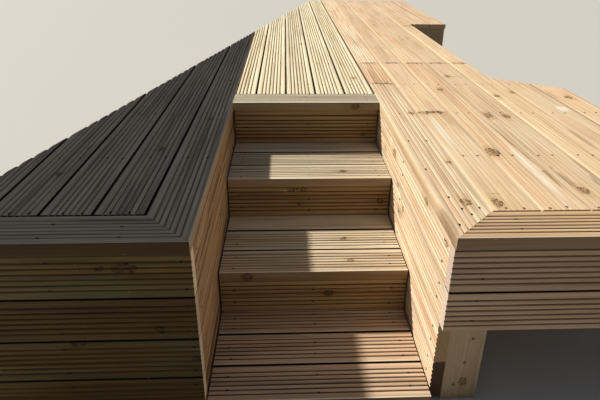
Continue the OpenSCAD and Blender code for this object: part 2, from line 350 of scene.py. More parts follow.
# Wood: growth rings round a pith, knots, streaks, grooves darkened by dirt and painted shade, grey skin, sawn
# ends, and painted shade and highlights on edges and in gaps
def buildWoodGroup():
    tree, given = newTree("pineWood", "ShaderNodeTree", {
        "Vector": [field.capitalize() for field in fields],
        "Color": ("Early", "Late", "Heart", "Streak", "Groove", "Skin", "Side", "Gap", "End"),
        "Float": ("Cut", *(name + " Amount" for name in usual), "Ring Gap", "Width", "Thickness"),
    }, {"Color": ("Colour",), "Float": ("Roughness", "Height")})
    _, across, deep = split(given["Grain"])
    seed, tone, warmth = split(given["Board"])
    knotAlong, knotAcross, knotSize = split(given["Knot"])
    toFar = given["Width"] - across
    below = given["Thickness"] - deep

    def squares(a, b):
        return a * a + b * b

    def stretched(a, b, c, shift):
        return given["Grain"].vector("MULTIPLY", (a, b, c)).vector("ADD", combine(tree, seed * shift))

    # Knots: the grain swirls round them
    leastKnot = 0.001
    hasKnot = knotSize.math("GREATER_THAN", leastKnot)
    safeSize = knotSize.math("MAXIMUM", leastKnot)
    wobble = noiseAt(given["Grain"], 90.0) * 0.006 - 0.003
    shortAlong = knotAlong * 0.7
    distance = squares(shortAlong, knotAcross).math("SQRT") + wobble
    share = distance / safeSize
    inKnot = between(share, 1.05, 0.75) * hasKnot
    rim = between((share - 0.95).math("ABSOLUTE"), 0.3, 0.0) * hasKnot
    farAlong = knotAlong / (safeSize * 4.5)
    farAcross = knotAcross / (safeSize * 1.9)
    swirl = (squares(farAlong, farAcross) * -1.0).math("EXPONENT") * hasKnot
    bent = across - knotAcross * swirl * 0.85

    # Growth rings round a pith that lies below the face and wanders along the board
    knotRingGap = 0.0022
    driftAcross, driftDeep, _ = split(noiseAt(stretched(1.1, 5.0, 5.0, 37.0), detail=1.5, output="Color"))
    pithAcross = (seed * 7.31).math("FRACT") * 0.08 + 0.02
    pithDeep = (seed * 3.17).math("FRACT") * -0.05 - 0.012
    fromAcross = bent - pithAcross + driftAcross * 0.03
    fromDeep = deep - pithDeep + driftDeep * 0.02
    radius = squares(fromAcross, fromDeep).math("SQRT")
    ringCounts = {0: inKnot, 2: radius / given["Ring Gap"], 3: distance / knotRingGap}
    rings = addWire(tree, "ShaderNodeMix", ringCounts, data_type="FLOAT")
    phase = rings.math("FRACT")
    lateBand = between(phase, 0.2, 0.85) * between(phase, 1.0, 0.9)
    ringSeed = rings.math("FLOOR") + seed * 91.0
    ringTone = addWire(tree, "ShaderNodeTexWhiteNoise", {"W": ringSeed}, noise_dimensions="1D")
    late = lateBand * (ringTone * 0.65 + 0.35)

    # Broad streaks of colour and fine fibres
    streak = between(noiseAt(stretched(0.9, 34.0, 22.0, 11.0), detail=3.0, roughness=0.6), 0.4, 0.68)
    lines = between(noiseAt(stretched(1.6, 60.0, 40.0, 23.0), detail=3.0, roughness=0.55), 0.5, 0.66)
    cloud = noiseAt(stretched(2.5, 9.0, 9.0, 5.0), detail=3.0)
    fibre = noiseAt(stretched(9.0, 520.0, 520.0, 3.0), roughness=0.7)
    fine = noiseAt(stretched(3.2, 170.0, 120.0, 29.0), roughness=0.6)
    light = tone * (fibre * 0.22 + 0.89) * (cloud * 0.3 + 0.85) * ((fine - 0.5) * given["Grain Amount"] + 1.0)
    wood = blend(late * given["Late Amount"], given["Early"], given["Late"])
    wood = blend(streak * warmth * given["Heart Amount"], wood, given["Heart"])
    wood = blend(lines * given["Streak Amount"], wood, given["Streak"])
    wood = scaled(wood, light)

    # Weathered skin on the face, least on warm boards; painted shade on the long edges, which is painted
    # light on finishes whose side colour is pale; worn corners, lightened further as a painted highlight
    edge = (0.0012, 0.0002)
    onEdge = between(across, *edge).math("MAXIMUM", between(toFar, *edge))
    faceSkin = (1.0 - onEdge) * given["Skin Amount"] * (1.6 - warmth).math("MAXIMUM", 0.1)
    skin = (between(cloud, 0.3, 0.7) * faceSkin).math("MINIMUM", 1.0)
    wood = blend(skin, wood, given["Skin"])
    wood = blend(onEdge * given["Side Amount"], wood, scaled(given["Side"], light))
    # Worn corner: real wear, lightened further as a painted highlight along the arris
    corner = between(across, 0.0055, 0.0025) * between(below, 0.0016, 0.0006)
    wood = blend(corner * given["Worn Amount"], wood, "fdf0d6")

    # Pale torn places and dark stains
    torn = between(noiseAt(stretched(7.0, 150.0, 60.0, 17.0)), 0.36, 0.6)
    for field, colour in (("Pale", "f6efda"), ("Stain", "745638")):
        fieldAlong, fieldAcross, amount = split(given[field])
        shape = between((squares(fieldAlong, fieldAcross) * -1.6).math("EXPONENT"), 0.1, 0.75)
        wood = blend(shape * (torn * 0.5 + 0.5) * amount, wood, colour)

    # Knots, broken into dark flecks, and the stained wood round them
    flecks = between(noiseAt(stretched(130.0, 260.0, 260.0, 19.0)), 0.46, 0.56)
    darkest = (inKnot * 0.6).math("MAXIMUM", rim) * flecks
    for amount, colour in ((swirl * 0.5, "e4d2b2"), (inKnot * 0.5, "bcae92"), (darkest, "4e4438")):
        wood = blend(amount, wood, colour, "MULTIPLY")

    # Dirt and painted shade in the grooves, which lie well inside the long edges; where a finish's groove
    # colour is pale, it is painted light against the grooves' shade
    inside = (0.008, 0.012)
    inGroove = between(below, 0.0007, 0.003) * between(below, 0.009, 0.006)
    inGroove = inGroove * (between(across, *inside) * between(toFar, *inside))
    grooveDirtAndShade = inGroove * (given["Groove Amount"] * (cloud * 0.7 + 0.6))
    wood = blend(grooveDirtAndShade.math("MINIMUM", 1.0), wood, given["Groove"])

    # Sawn ends show the rings; what faces a gap is painted dark, dirt and painted shade together, and so is
    # the rounded corner above it. Ends butted tight take the same painted gap shade, and a band below an
    # overhanging board is painted shadow.
    gapEdge, overhungEdge = (0.0038, 0.0004), (0.010, 0.005)
    endTone = scaled(blend(late * 0.6, given["End"], "b08e66", "MULTIPLY"), tone)
    wood = blend(given["Cut"].math("MINIMUM", 1.0), wood, endTone)
    gapNear, gapFar, overhung = split(given["Gaps"])
    gapShadeAndDirt = (gapNear * between(across, *gapEdge)).math("MAXIMUM", gapFar * between(toFar, *gapEdge))
    gapShadeAndDirt = gapShadeAndDirt.math("MAXIMUM", overhung * between(toFar, *overhungEdge))
    gapShadeAndDirt = gapShadeAndDirt * given["Cut"].math("LESS_THAN", 0.5)
    wood = blend(gapShadeAndDirt.math("MAXIMUM", between(given["Cut"], 1.4, 1.6)), wood, given["Gap"])

    # A few pale specks of dust
    specks = addNode(tree, "ShaderNodeTexVoronoi", {"Vector": stretched(1.0, 1.0, 1.0, 43.0), "Scale": 55.0})
    chosen = split(Wire(specks.outputs["Color"]))[0].math("GREATER_THAN", 0.96)
    speck = between(Wire(specks.outputs["Distance"]), 0.1, 0.05) * chosen
    wood = blend(speck * 0.5, wood, "d9cdb4")

    addNode(tree, "NodeGroupOutput", {
        "Colour": wood, "Roughness": fibre * 0.16 + 0.7 - inKnot * 0.15,
        "Height": fibre * 0.5 + late * 0.6 - rim * 0.8})
    return tree


woodGroup = buildWoodGroup()


def mix(amounts, **colours):
    amounts = {name + " Amount": amount for name, amount in {**usual, **amounts}.items()}
    return {**colours, **amounts, "Ring Gap": ringGap, "Width": boardWidth, "Thickness": boardThickness}


# One entry for each finish of the wood: the amounts that aren't usual, and the colours as sRGB codes
finishes = {
    # The sunny deck's pale groove, side and gap colours are painted light against the shade in its grooves
    # and gaps
    "sunnyDeck": mix(
        dict(Late=0.55, Streak=0.42, Groove=0.45, Side=0.8, Grain=0.8, Worn=0.4),
        Early="f0d3aa", Late="dcae80", Heart="e0b08c", Streak="c4986e", Groove="f0d6ae", Skin="e0ceac",
        Side="f8e2ba", Gap="7a5a3e", End="d2b088"),
    "rightBorder": mix(
        dict(Late=0.55, Heart=0.75, Streak=0.6, Groove=0.65, Skin=0.3, Side=0.3, Worn=1.0),
        Early="f4dfba", Late="dfb284", Heart="e0aa7e", Streak="ac825c", Groove="a06a3e", Skin="e2d2b0",
        Side="ecca9c", Gap="6a4e36", End="ecd2ac"),
    "frontBorder": mix(
        dict(Skin=0.3, Side=0.85, Worn=0.5),
        Early="d6b68c", Late="b79066", Heart="c49870", Streak="a98464", Groove="563a24", Skin="d2bb9a",
        Side="6e5a47", Gap="9a7a58", End="d8b894"),
    "landing": mix(
        dict(Heart=0.5, Streak=0.4, Side=0.8),
        Early="fdf1cd", Late="e6cd9e", Heart="e0c292", Streak="b0946a", Groove="79603e", Skin="e8dcba",
        Side="8a7450", Gap="1d1712", End="c8b082"),
    "greenNosing": mix(
        dict(Late=0.4, Heart=0.3, Streak=0.55, Groove=0.9, Skin=0.5, Side=0.75, Worn=1.0),
        Early="d8cbae", Late="b4a586", Heart="beab88", Streak="9c9078", Groove="6e6248", Skin="b6b09c",
        Side="7d6a3e", Gap="2a2118", End="9a8a66"),
    "greyDeck": mix(
        dict(Late=0.6, Heart=0.5, Streak=0.7, Groove=0.75, Skin=0.45, Side=1.0, Worn=0.15, Grain=1.2),
        Early="d2bb9c", Late="a68f72", Heart="bfa587", Streak="7c6854", Groove="665a4f", Skin="b6a894",
        Side="473316", Gap="1c1815", End="b8a284"),
    # The left fascia is painted far darker than the right one: painted shade of the shaded left side
    "leftFascia": mix(
        dict(Late=0.6, Heart=0.8, Groove=0.35, Skin=0.3, Grain=1.2),
        Early="60491f", Late="402b11", Heart="5c3d19", Streak="2f210d", Groove="332510", Skin="646850",
        Side="5a4526", Gap="0a0805", End="f0dcbc"),
    "rightFascia": mix(
        dict(Heart=0.5, Groove=0.8),
        Early="bda082", Late="9c7e60", Heart="ac8a70", Streak="84694f", Groove="5c4632", Skin="a5937c",
        Side="6a523c", Gap="1a120b", End="f6e0cc"),
    "leftCheek": mix(
        dict(Late=0.75, Streak=1.0, Groove=0.2, Skin=0.3, Side=0.3, Grain=2.0),
        Early="cbaa80", Late="816343", Heart="a9845d", Streak="5f4227", Groove="7c5c3c", Skin="a98e69",
        Side="8c7860", Gap="5a422c", End="e0c8a6"),
    "rightCheek": mix(
        dict(Heart=0.95, Streak=0.6, Groove=0.35, Skin=0.25, Side=0.4, Grain=0.7),
        Early="f3e1bf", Late="e2b486", Heart="ecb892", Streak="c8946a", Groove="d4a878", Skin="eee0c0",
        Side="c8a278", Gap="4f3926", End="a88a66"),
    "riser": mix(
        dict(Late=0.6, Heart=0.8, Streak=0.6, Groove=0.85, Skin=0.35, Grain=0.7),
        Early="b39668", Late="806038", Heart="966b42", Streak="6c4c28", Groove="34210f", Skin="96825c",
        Side="6a4a26", Gap="120b05", End="4a3418"),
    "tread": mix(
        dict(Side=0.75, Worn=0.9),
        Early="ead9b8", Late="b89a76", Heart="c4a280", Streak="8e7254", Groove="3a2616", Skin="bcb09a",
        Side="73532f", Gap="140d07", End="6e563a"),
    "frameTimber": mix(
        dict(Late=0.45, Heart=0.4, Streak=0.35, Groove=0.0, Side=0.0),
        Early="baa282", Late="988062", Heart="a68a6a", Streak="8e785a", Groove="8f7446", Skin="a08e74",
        Side="ffffff", Gap="201810", End="b89c70"),
}
finishes["greyBorder"] = {**finishes["greyDeck"], "Side": "b8a287"}
finishes["lowerTread"] = {**finishes["tread"], "Early": "e2c4a2", "Late": "b28b67", "Heart": "be9370",
                          "Skin": "b69f86", "Side": "6e4a28"}
# A lighter copy of the riser finish: painted light against the shade where the strip sits back under the
# nosing
finishes["packing"] = {**finishes["riser"], "Early": "cdb080", "Late": "a5875a", "Heart": "b08a5c"}


def woodMaterial(name, finish):
    material, tree = newMaterial(name)

    def read(name, output):
        return addWire(tree, "ShaderNodeAttribute", output=output, attribute_name=name)

    inputs = {field.capitalize(): read(field, "Vector") for field in fields}
    inputs["Cut"] = read("cut", "Fac")
    wood = addNode(tree, "ShaderNodeGroup", {**inputs, **finish}, node_tree=woodGroup)
    colour, rough, height = (Wire(socket) for socket in wood.outputs)
    bump = addWire(tree, "ShaderNodeBump", {"Height": height, "Strength": 0.5, "Distance": 0.0012})
    addShader(tree, {"Base Color": colour, "Roughness": rough, "Normal": bump, "Specular IOR Level": 0.3})
    return material


materials = {name: woodMaterial(name, finish) for name, finish in finishes.items()}
print("wood finishes made:", len(materials))


# A board's own frame: u along it, v across it and w up to its grooved face
axes = {
    "lengthwise": ((0, 1, 0), (-1, 0, 0), (0, 0, 1)),      # along the deck, face up
    "crosswise": ((1, 0, 0), (0, 1, 0), (0, 0, 1)),        # across the deck, face up
    "turned": ((1, 0, 0), (0, -1, 0), (0, 0, -1)),         # across the flight, face down
    "upright": ((1, 0, 0), (0, 0, 1), (0, -1, 0)),         # on edge, face to the front
    "rightCheek": ((0, 1, 0), (0, 0, -1), (-1, 0, 0)),
    "leftCheek": ((0, 1, 0), (0, 0, 1), (1, 0, 0)),
}

# Knots seen on the top, front or side of single boards: place on that face and size, in metres
seenKnots = {
    ("right_deck_boards", "top"): [
        (0.559, 0.497, 0.022), (0.677, 0.86, 0.017), (0.744, 0.851, 0.015), (0.704, 0.226, 0.014),
        (0.446, 0.16, 0.015), (0.48, 0.895, 0.006), (0.451, 0.885, 0.006), (0.503, 0.893, 0.008),
        (0.426, 0.895, 0.005), (0.597, 1.225, 0.012), (0.81, 1.125, 0.012), (0.899, 1.179, 0.01),
        (1.112, 1.103, 0.014), (0.7, 1.47, 0.011)],
    ("right_side_border", "top"): [(0.368, 0.167, 0.013), (0.398, 0.42, 0.007), (0.392, 0.892, 0.011)],
    ("right_cheek_boards", "side"): [
        (0.258, 0.486, 0.011), (0.687, 0.452, 0.015), (0.596, 0.375, 0.008), (0.5, 0.33, 0.009),
        (0.06, 0.476, 0.007)],
    ("top_nosing", "front"): [(0.198, 0.514, 0.011)],
    ("lower_riser", "front"): [(0.045, 0.119, 0.01)],
    ("middle_riser", "front"): [
        (-0.067, 0.31, 0.009), (-0.02, 0.314, 0.007), (-0.034, 0.254, 0.007), (0.258, 0.262, 0.01)],
    ("middle_tread_front", "top"): [(0.12, 0.4, 0.008)],
    ("middle_tread_front", "front"): [(-0.205, 0.189, 0.012)],
    ("middle_tread_middle", "top"): [(0.11, 0.53, 0.009)],
    ("middle_tread_rear", "top"): [(-0.071, 0.659, 0.008), (-0.03, 0.63, 0.007)],
    ("upper_tread_front", "top"): [(0.125, 0.745, 0.01)],
    ("upper_tread_rear", "top"): [(-0.063, 1.0, 0.009)],
    ("left_fascia_boards", "front"): [
        (-0.435, 0.462, 0.012), (-0.5, 0.462, 0.007), (-0.579, 0.25, 0.012), (-0.384, 0.286, 0.01)],
    ("corner_posts", "front"): [(0.383, 0.061, 0.01)],
}

# Place, half length, half width, and how pale (above 0) or how dark (below 0)
seenPatches = {
    ("right_deck_boards", "top"): [
        (0.452, 0.7, 0.2, 0.018, 0.6), (0.628, 0.35, 0.22, 0.018, 0.75), (1.007, 0.945, 0.045, 0.026, 0.9),
        (0.782, 0.33, 0.15, 0.01, -0.4), (0.641, 1.25, 0.42, 0.003, -0.8), (0.646, 0.64, 0.19, 0.004, -0.8),
        (0.655, 0.33, 0.11, 0.006, -0.8), (0.682, 0.56, 0.22, 0.01, -0.35), (0.692, 0.29, 0.07, 0.01, -0.6),
        (0.774, 0.275, 0.045, 0.014, -0.55), (0.905, 0.62, 0.12, 0.012, -0.4),
        (1.059, 1.14, 0.08, 0.012, -0.4), (0.713, 1.461, 0.005, 0.055, -0.7),
        (0.58, 2.404, 0.006, 0.05, -0.6), (0.7, 2.455, 0.006, 0.035, -0.6),
        (0.462, 0.212, 0.002, 0.02, -0.6)],
    ("right_side_border", "top"): [(0.2965, 0.06, 0.11, 0.012, -0.6), (0.34, 2.1, 0.26, 0.03, 0.8)],
    ("right_cheek_boards", "side"): [
        (0.54, 0.3, 0.055, 0.022, -0.55), (0.76, 0.478, 0.035, 0.01, 0.7), (0.656, 0.462, 0.03, 0.014, 0.6),
        (0.58, 0.352, 0.035, 0.014, 0.7), (0.41, 0.232, 0.05, 0.008, 0.7), (0.875, 0.49, 0.04, 0.008, 0.6)],
    ("middle_riser", "front"): [(-0.075, 0.306, 0.038, 0.009, 0.35)],
}


def placeSpots(seen):
    # Each node's spots, with the place in space that the face gives them
    placed = {}
    for (node, face), spots in seen.items():
        low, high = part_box(node)
        for first, second, *sizes in spots:
            places = {"top": (first, second, high.z), "front": (first, low.y, second),
                      "side": (low.x, first, second)}
            placed.setdefault(node, []).append((places[face], *sizes))
    return placed


knotsOn = placeSpots(seenKnots)
patchesOn = placeSpots(seenPatches)

# How boards vary, from and to, and how far from a spot its field reaches, along and across
variation = {"tone": (0.92, 1.06), "warmth": (0.45, 1.0), "knotSize": (0.006, 0.011)}
reaches = {
    "knot": (0.07, 0.024), "edgeKnot": (0.07, 0.04), "timberKnot": (0.07, 0.1), "patch": (0.035, 0.012)}
knotSpacing = 0.16
wetEnd = (0.014, 0.060, -0.8)   # half length, half width and darkness of a stain at a soaked end
nodeOrder = sorted(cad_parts)
boardsOf = {}


def addBoard(node, way, origin, length, cuts=(), **more):
    turned = Matrix([Vector(axis) for axis in axes[way]]).transposed().to_4x4()
    place = Matrix.Translation(origin) @ turned
    boardsOf.setdefault(node, []).append({"place": place, "length": length, "cuts": cuts, **more})


def spotField(points, spots, reach):
    # For each point the way from its nearest spot, and the spot's strength where it is close enough.
    # A knot gives its size; a patch gives its half sizes, which the way is counted in, and its amount.
    field = np.zeros((len(points), 3))
    best = np.full(len(points), np.inf)
    for along, across, *rest in spots:
        isPatch = len(rest) > 1
        away = points[:, :2] - (along, across)
        sizes = np.array(rest[:2] if isPatch else (1.0, 1.0))
        far = np.hypot(*(away / sizes * (1.0 if isPatch else 0.4, 1.0)).T)
        near = far < best
        best[near] = far[near]
        limits = np.maximum(reach, sizes * 2.3) if isPatch else reach
        close = (np.abs(away) < limits).all(axis=1)
        field[near, :2] = (away / sizes)[near]
        field[near, 2] = np.where(close, rest[-1], 0.0)[near]
    return field


def ownSpots(spots, toBoard, length, width, onEdge=False):
    # The spots that lie on this board: on its face, or on its near long edge
    own = []
    for place, *rest in spots:
        spot = toBoard @ Vector(place)
        reached = -0.02 < spot.x < length + 0.02
        if onEdge and reached and abs(spot.y) < 0.001:
            own.append((spot.x, spot.z, *rest))
        elif not onEdge and reached and 0.002 < spot.y < width:
            own.append((spot.x, spot.y, *rest))
    return own


def growKnots(chance, knots, perMetre, length, width, across, size):
    # Adds knots by chance, clear of each other and of those that are there
    for _ in range(chance.poisson(length * perMetre)):
        spot = (float(chance.uniform(0, length)), float(chance.uniform(*across)) * width)
        if all(abs(spot[0] - other[0]) > knotSpacing for other in knots):
            knots.append((*spot, float(chance.uniform(*size))))


def cutAway(bm, plane, toBoard, cutLayer):
    point, outward = plane
    parts = bm.verts[:] + bm.edges[:] + bm.faces[:]
    bmesh.ops.bisect_plane(
        bm, geom=parts, dist=1e-6, clear_outer=True,
        plane_co=toBoard @ Vector(point), plane_no=toBoard.to_3x3() @ Vector(outward))
    openEdges = [edge for edge in bm.edges if edge.is_boundary]
    for face in bmesh.ops.holes_fill(bm, edges=openEdges, sides=0)["faces"]:
        face[cutLayer] = 1


def subtract(mesh, corners, toBoard):
    # Saws away what lies over the corners, given in plan
    cutter = bmesh.new()
    bottom, top = ([cutter.verts.new(toBoard @ Vector((x, y, level))) for x, y in corners]
                   for level in (deckBase - 0.1, deckTop + 0.1))
    cutter.faces.new(bottom[::-1])
    cutter.faces.new(top)
    for i in range(len(corners)):
        j = (i + 1) % len(corners)
        cutter.faces.new((bottom[i], bottom[j], top[j], top[i]))
    cutterObject = newObject("cutter", takeMesh(cutter, "cutter"))
    target = newObject("target", mesh)
    saw = target.modifiers.new("saw", "BOOLEAN")
    saw.object = cutterObject
    saw.solver = "EXACT"
    result = applied(target)
    bpy.data.objects.remove(cutterObject)
    return result


def partOf(bm, points, placed, values, cut, **more):
    # What one board brings to its piece; a field that isn't given is zero
    return {
        **{field: np.zeros((len(points), 3)) for field in fields},
        "points": placed,
        "faces": [[vertex.index for vertex in face.verts] for face in bm.faces],
        "cut": cut,
        "grain": points,
        "board": np.tile(values, (len(points), 1)),
        **more,
    }


def drawGrain(chance):
    # Seed, tone and warmth of one board
    ranges = ((0, 1), variation["tone"], variation["warmth"])
    return [float(chance.uniform(*limits)) for limits in ranges]


def makeBoard(board, node, knotsPerMetre, chance):
    seed, tone, warmth = drawGrain(chance)
    tone *= board.get("tone", 1.0)
    warmth *= board.get("warmth", 1.0)
    place, length = board["place"], board["length"]
    toBoard = place.inverted()
    depth = decking["Groove Depth"] * board.get("grooveLeft", 1.0)
    mesh = bakeTree(boardTree, {**decking, "Groove Depth": depth, "Length": length, "Seed": seed})
    if "notch" in board:
        mesh = subtract(mesh, board["notch"], toBoard)
    bm = bmesh.new()
    bm.from_mesh(mesh)
    bpy.data.meshes.remove(mesh)
    cutLayer = bm.faces.layers.int.new("cutLayer")
    # Tight ends are painted with the gap colour in the shader: painted shade in the joint
    tightStart, tightEnd = board.get("tight", (False, False))
    for face in bm.faces:
        if abs(face.normal.x) > 0.5:
            face[cutLayer] = 2 if (tightStart if face.normal.x < 0 else tightEnd) else 1
    for plane in board["cuts"]:
        cutAway(bm, plane, toBoard, cutLayer)
    knots = ownSpots(knotsOn.get(node, ()), toBoard, length, boardWidth)
    growKnots(chance, knots, knotsPerMetre, length, boardWidth, (0.15, 0.85), variation["knotSize"])
    patches = ownSpots(patchesOn.get(node, ()), toBoard, length, boardWidth)
    if board.get("soaked"):
        wetEnds = [end for end, tight in ((0.0, tightStart), (length, tightEnd)) if tight]
        patches += [(end, boardWidth / 2, *wetEnd) for end in wetEnds]
    edgeKnots = ownSpots(knotsOn.get(node, ()), toBoard, length, boardWidth, onEdge=True)
    bm.verts.index_update()
    points = np.array([vertex.co for vertex in bm.verts])
    turned = np.array(place)
    knotField = spotField(points, knots, reaches["knot"])
    if edgeKnots:
        edge = points[:, 1] < decking["Arris"] / 3
        knotField[edge] = spotField(points[edge][:, [0, 2, 1]], edgeKnots, reaches["edgeKnot"])
    # How strongly each long edge gets the painted gap shade, and the painted shadow band under an overhanging
    # board
    gaps = np.tile((*board.get("gaps", (1.0, 1.0)), board.get("overhung", 0.0)), (len(points), 1))
    gaps[points[:, 0] < board.get("farGapFrom", 0.0), 1] = 0.0
    pale = [spot for spot in patches if spot[-1] > 0]
    stains = [(*spot[:-1], -spot[-1]) for spot in patches if spot[-1] < 0]
    made = partOf(
        bm, points, points @ turned[:3, :3].T + turned[:3, 3], (seed, tone, warmth),
        [float(face[cutLayer]) for face in bm.faces], knot=knotField, gaps=gaps,
        pale=spotField(points, pale, reaches["patch"]), stain=spotField(points, stains, reaches["patch"]))
    bm.free()
    return made


def assemble(name, parts, material, smoothAngle=62):
    points = np.vstack([part["points"] for part in parts])
    faces, start = [], 0
    for part in parts:
        faces += [[start + i for i in face] for face in part["faces"]]
        start += len(part["points"])
    mesh = bpy.data.meshes.new(name)
    mesh.from_pydata(points.tolist(), [], faces)
    for field in fields:
        setAttribute(mesh, field, np.vstack([part[field] for part in parts]))
    setAttribute(mesh, "cut", np.concatenate([part["cut"] for part in parts]), "FACE")
    mesh.materials.append(material)
    mesh.shade_smooth()
    mesh.set_sharp_from_angle(angle=math.radians(smoothAngle))
    return newObject(name, mesh)


def settle(piece, slotName=None, nodes=()):
    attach(piece, "root")
    if nodes:
        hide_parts(*nodes)


# Deck boards and borders
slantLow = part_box("left_front_border")[0]
slantPlane = ((slantLow.x, slantLow.y, 0), (-math.cos(plan["slant"]), math.sin(plan["slant"]), 0))
cornerStart = (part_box("right_front_border")[1].x, plan["cornerStart"], 0)
cornerPlane = (cornerStart, (plan["cornerRun"], plan["cornerIn"], 0))
pitch = boardWidth + plan["deckGap"]
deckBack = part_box("right_deck_boards")[1].y
# Long edges and ends that face a gap get painted shade, with some dirt, in the gap colour
farOnly, bothSides = (0.0, 1.0), (True, True)   # which long edges or ends face a gap


def lengths(start, end, joints):
    # The lengths of one line of boards, with a gap where they meet
    marks = [start - plan["buttGap"] / 2, *joints, end + plan["buttGap"] / 2]
    return [(a + plan["buttGap"] / 2, b - plan["buttGap"] / 2) for a, b in zip(marks, marks[1:])]


def addDeckLine(node, right, start, end, joints=(), darkStart=True, **more):
    for low, high in lengths(start, end, joints):
        tight = (darkStart or low > start, high < deckBack - plan["buttGap"])
        addBoard(node, "lengthwise", (right, low, deckBase), high - low, tight=tight, **more)


def addOver(node, way, row=None, **more):
    # A board over the whole length of its node's box; cladding has rows, counted from the top
    low, high = (list(corner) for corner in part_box(node))
    if row is not None:
        high[2] -= row * (boardWidth + plan["cladGap"])
        low[2] = high[2] - boardWidth
    forward = [sum(parts) > 0 for parts in zip(*axes[way])]
    origin = [a if ahead else b for ahead, a, b in zip(forward, low, high)]
    length = sum(part * (b - a) for part, a, b in zip(axes[way][0], low, high))
    addBoard(node, way, origin, length, **more)


low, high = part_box("right_deck_boards")
joists = [plan["firstJoist"] + n * plan["joistPitch"] for n in range(plan["joistCount"])]
rightJoints = [(joists[1], joists[3]), (joists[3],), (joists[3],), (joists[3], joists[6]), (), ()]
notchX = high.x - plan["cornerIn"]
notchY = plan["cornerStart"] + plan["cornerRun"]
outside = high.x + 0.5
notch = [(notchX, notchY), (high.x, plan["cornerStart"]), (outside, plan["cornerStart"]),
         (outside, plan["recessEnd"]), (notchX, plan["recessEnd"])]
# Dirt and painted shade in the gaps of the right deck, board by board
gapDirtAndShade = (0.0, 0.1, 0.35, 0.0, 0.2, 0.7, 0.3)   # how dark the gaps are, from the border outwards
rightTones = (1.0, 1.02, 0.93, 0.98, 0.96, 1.0)
for k, joints in enumerate(rightJoints):
    left = low.x + k * pitch
    reach = left + boardWidth
    more = {"gaps": (gapDirtAndShade[k + 1], gapDirtAndShade[k]), "darkStart": False, "grooveLeft": 0.14, "soaked": True,
            "tone": rightTones[k], "pair": (1, 4) if k == 0 else (2, 5)}
    if reach <= notchX:
        addDeckLine("right_deck_boards", reach, low.y, high.y, joints, **more)
    elif left < notchX:
        addDeckLine("right_deck_boards", reach, low.y, high.y, joints, notch=notch, **more)
    else:
        end = plan["cornerStart"] + (high.x - left) * plan["cornerRun"] / plan["cornerIn"]
        addDeckLine("right_deck_boards", reach, low.y, end, joints, cuts=[cornerPlane], **more)
        addDeckLine("right_deck_boards", reach, plan["recessEnd"], high.y, **more)

low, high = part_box("left_deck_boards")
for k in range(4):
    addDeckLine("left_deck_boards", high.x - k * pitch, low.y, high.y, cuts=[slantPlane])

low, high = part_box("landing_boards")
for k in range(5):
    ripped = [((low.x, 0, 0), (-1, 0, 0))] if k == 4 else []
    addDeckLine("landing_boards", high.x - k * pitch, low.y, high.y, cuts=[slantPlane, *ripped])

low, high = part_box("right_side_border")
mitre = plan["mitreGap"] / 2
borderParts = (   # from the front: the mitred board, a warmer one, and the rest
    {"cuts": [((low.x, low.y + mitre, 0), (1, -1, 0))], "tight": (False, True), "warmth": 0.8},
    {"tight": (True, True), "warmth": 1.3, "tone": 0.95},
    {"tight": (True, False), "warmth": 0.8})
for (start, end), part in zip(lengths(low.y, high.y, joists[2:4]), borderParts):
    addBoard("right_side_border", "lengthwise", (high.x, start, deckBase), end - start, gaps=(0.05, 1.0),
             farGapFrom=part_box("top_nosing")[1].y - start, grooveLeft=0.5, soaked=True, **part)

low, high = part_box("left_side_border")
leftMitre = ((high.x, low.y + mitre, 0), (-1, -1, 0))
addDeckLine("left_side_border", high.x, low.y, high.y, gaps=farOnly, cuts=[leftMitre, slantPlane])

low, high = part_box("right_front_border")
addOver("right_front_border", "crosswise", cuts=[((low.x + mitre, low.y, 0), (-1, 1, 0))], gaps=farOnly)
low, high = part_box("left_front_border")
mitred = ((high.x - mitre, low.y, 0), (1, 1, 0))
addOver("left_front_border", "crosswise", cuts=[mitred, slantPlane], gaps=farOnly)

# Nosing, treads and risers
addOver("top_nosing", "crosswise", gaps=farOnly, tight=bothSides)
turnedTreads = ("middle_tread_rear", "upper_tread_rear")
for step in ("lower", "middle", "upper"):
    # Risers get a painted shadow band at the top, under the tread that overhangs them
    addOver(step + "_riser", "upright", tight=bothSides, overhung=0.5)
    for part in ("front", "middle", "rear"):
        node = f"{step}_tread_{part}"
        addOver(node, "turned" if node in turnedTreads else "crosswise", tight=bothSides,
                gaps=farOnly if part == "front" else (1.0, 1.0))

# Fascia and cheek boards hang in rows from the deck
low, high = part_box("left_fascia_boards")
fasciaSlant = ((low.x, low.y, 0), slantPlane[1])
# The top rows get a painted shadow band under the border that overhangs them
fasciaRows = ({"tone": 1.18, "warmth": 0.3, "overhung": 0.6}, {"tone": 0.86, "warmth": 1.5},
              {"tone": 1.0, "warmth": 1.5}, {"tone": 1.3, "warmth": 1.5})
for row, more in enumerate(fasciaRows):
    addOver("left_fascia_boards", "upright", row, cuts=[fasciaSlant], **more)
base = ((0, 0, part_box("right_fascia_boards")[0].z), (0, 0, -1))
for row, more in enumerate(({"tone": 0.86, "overhung": 0.9}, {"tone": 0.98, "cuts": [base]})):
    addOver("right_fascia_boards", "upright", row, **more)
# The lowest right cheek board's front end is painted with its dark gap colour: painted shade
for row in range(4):
    addOver("right_cheek_boards", "rightCheek", row, tight=(row == 3, False),
            gaps=(0.25, 0.25), grooveLeft=0.6)
    addOver("left_cheek_boards", "leftCheek", row, gaps=(0.5, 0.5), grooveLeft=0.5)

